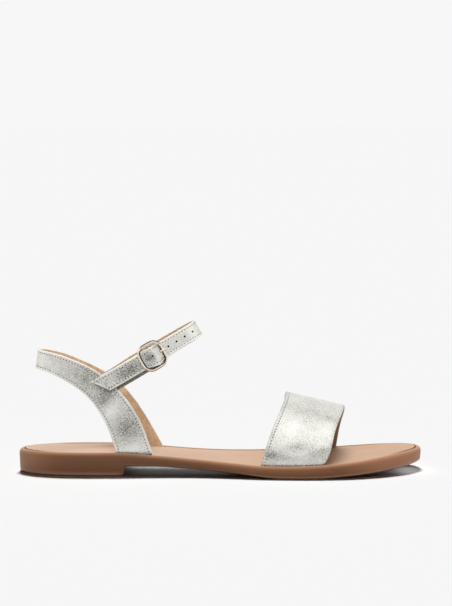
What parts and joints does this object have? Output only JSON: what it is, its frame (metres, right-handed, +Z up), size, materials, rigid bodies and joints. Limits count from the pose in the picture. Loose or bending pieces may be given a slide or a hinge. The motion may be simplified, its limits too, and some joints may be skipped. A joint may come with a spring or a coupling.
{
  "type": "flat sandal",
  "caption": "Flat ankle-strap sandal for the right foot: moulded sole with a raised rim, insole, broad vamp strap, and a heel strap joined to a buckled ankle strap.",
  "frame": {"origin": "on the floor, under the middle of the overall length and width", "axes": "+X to the toe, +Y to the inner (medial) side of the right foot, +Z up from the floor"},
  "size_m": [0.2524, 0.0885, 0.0947],
  "materials": {
    "brown_rubber": "satin brown moulded rubber",
    "tan_insole": "smooth matt tan",
    "silver_leather": "metallic silver foil, fine grain",
    "pale_gold": "polished pale gold plating"
  },
  "bodies": {
    "root": {"outsole": "brown_rubber", "insole": "tan_insole", "vamp_strap": "silver_leather", "heel_and_ankle_straps": "silver_leather", "buckle_frame": "pale_gold", "buckle_prong": "pale_gold"}
  },
  "joints": []
}
